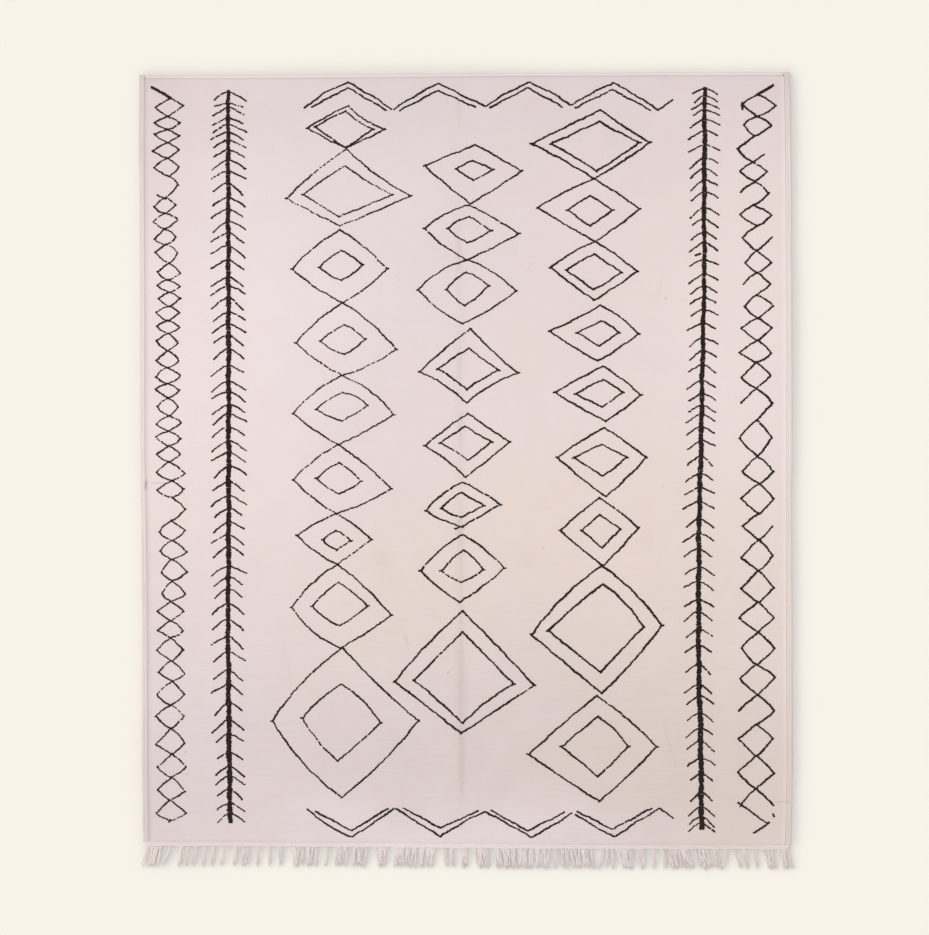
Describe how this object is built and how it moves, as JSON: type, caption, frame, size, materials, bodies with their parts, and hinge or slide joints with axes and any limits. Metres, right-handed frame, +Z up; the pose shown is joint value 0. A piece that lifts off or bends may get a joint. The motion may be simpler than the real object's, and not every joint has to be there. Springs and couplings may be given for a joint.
{
  "type": "berber kilim rug",
  "caption": "Flat-woven wool rug lying flat, with dark lozenge, fishbone and zigzag motifs, wrapped side selvedges and a loose fringe along one end.",
  "frame": {"origin": "on the surface under the middle of the whole rug, fringe included", "axes": "+Y along the rug towards its head, away from the fringe; +Z up; +X to the right"},
  "size_m": [2.512, 3.0595, 0.007],
  "materials": {
    "ivory_wool": "matt hand-spun wool in flat weave, pale pinkish ivory, with the dark knotted motifs worked in",
    "selvedge_wool": "matt wool, wrapped round two bundles of warp",
    "cord_wool": "matt twined wool cord",
    "fringe_wool": "matt plied wool warp ends",
    "dark_wool": "matt natural brown-black wool, tied in short knots"
  },
  "bodies": {
    "root": {"woven_field": "ivory_wool", "selvedge_left": "selvedge_wool", "selvedge_right": "selvedge_wool", "starting_cord": "cord_wool", "fringe_comb": "fringe_wool"}
  },
  "joints": []
}
